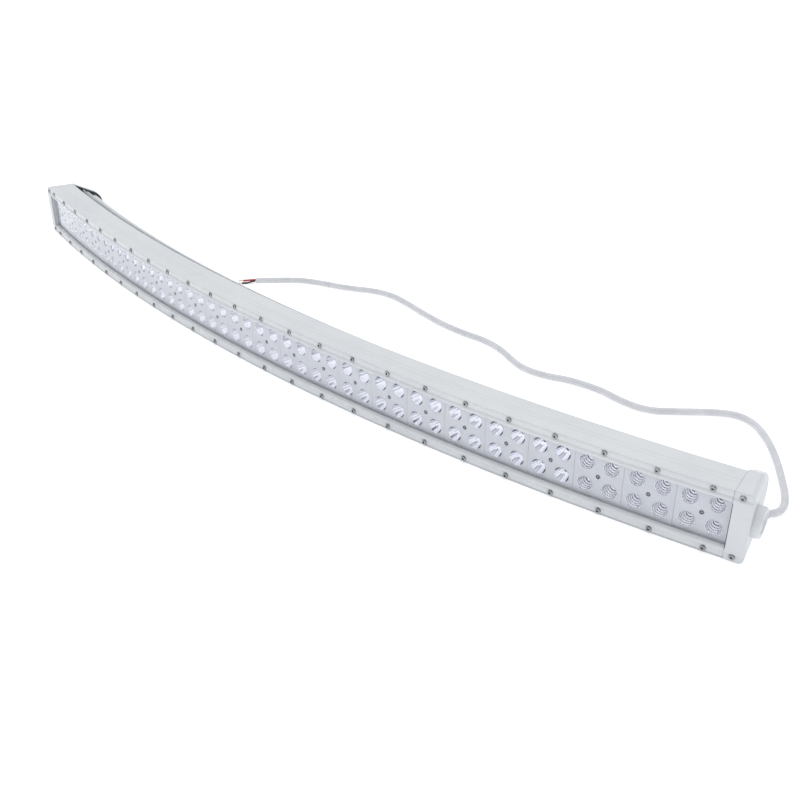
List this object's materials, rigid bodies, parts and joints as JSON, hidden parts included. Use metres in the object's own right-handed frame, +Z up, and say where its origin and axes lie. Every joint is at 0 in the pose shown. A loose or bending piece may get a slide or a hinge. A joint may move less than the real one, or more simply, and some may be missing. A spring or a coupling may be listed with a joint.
{
  "type": "led light bar",
  "caption": "Curved bar-shaped vehicle work light: finned aluminium housing behind a clear lens with rows of reflector cups, end caps with side mounting bosses, and a trailing cable.",
  "frame": {"origin": "on the floor under the centre of the bar's bounding box, cable not counted", "axes": "+X along the bar towards the end the cable leaves from, +Y from the lens to the rear, +Z up"},
  "size_m": [1.2588, 0.3082, 0.073],
  "materials": {
    "aluminium_body": "satin white powder coat on an extrusion",
    "white_trim": "satin white coat",
    "clear_lens": "clear polycarbonate",
    "grey_rubber": "matt",
    "black_rubber": "matt",
    "cast_cap": "satin white powder coat on a die casting",
    "aluminium_block": "machined",
    "bright_screw": "bright steel",
    "reflector_finish": "vacuum-metallised plastic",
    "lamp_board": "black solder mask",
    "led_phosphor": "pale phosphor under a clear dome, on a black body",
    "green_board": "green solder mask",
    "black_parts": "moulded component bodies",
    "red_insulation": "satin PVC",
    "black_insulation": "satin PVC",
    "white_nylon": "moulded nylon",
    "white_jacket": "satin PVC jacket",
    "tinned_copper": "stranded copper"
  },
  "bodies": {
    "root": {"housing": "aluminium_body", "top_strip": "white_trim", "bottom_strip": "white_trim", "lens": "clear_lens", "lens_gasket": "grey_rubber", "left_end_cap": "cast_cap", "right_end_cap": "cast_cap", "left_cap_gasket": "black_rubber", "right_cap_gasket": "black_rubber", "left_end_block": "aluminium_block", "right_end_block": "aluminium_block", "top_strip_screws": "bright_screw", "bottom_strip_screws": "bright_screw", "end_cap_screws": "bright_screw", "reflector_screws": "bright_screw", "reflector_01": "reflector_finish", "reflector_02": "reflector_finish", "reflector_03": "reflector_finish", "reflector_04": "reflector_finish", "reflector_05": "reflector_finish", "reflector_06": "reflector_finish", "reflector_07": "reflector_finish", "reflector_08": "reflector_finish", "reflector_09": "reflector_finish", "reflector_10": "reflector_finish", "reflector_11": "reflector_finish", "reflector_12": "reflector_finish", "reflector_13": "reflector_finish", "reflector_14": "reflector_finish", "reflector_15": "reflector_finish", "reflector_16": "reflector_finish", "reflector_17": "reflector_finish", "reflector_18": "reflector_finish", "reflector_19": "reflector_finish", "reflector_20": "reflector_finish", "reflector_21": "reflector_finish", "reflector_22": "reflector_finish", "reflector_23": "reflector_finish", "reflector_24": "reflector_finish", "led_board_1": "lamp_board", "led_board_2": "lamp_board", "led_board_3": "lamp_board", "led_board_4": "lamp_board", "leds_1": "led_phosphor", "leds_2": "led_phosphor", "leds_3": "led_phosphor", "leds_4": "led_phosphor", "driver_board": "green_board", "driver_parts": "black_parts", "harness_red": "red_insulation", "harness_black": "black_insulation", "breather_plug": "white_nylon", "cable_gland": "white_nylon", "gland_seal": "grey_rubber", "strain_relief": "white_jacket", "cable": "white_jacket", "red_lead": "red_insulation", "black_lead": "black_insulation", "bare_conductors": "tinned_copper"}
  },
  "joints": []
}
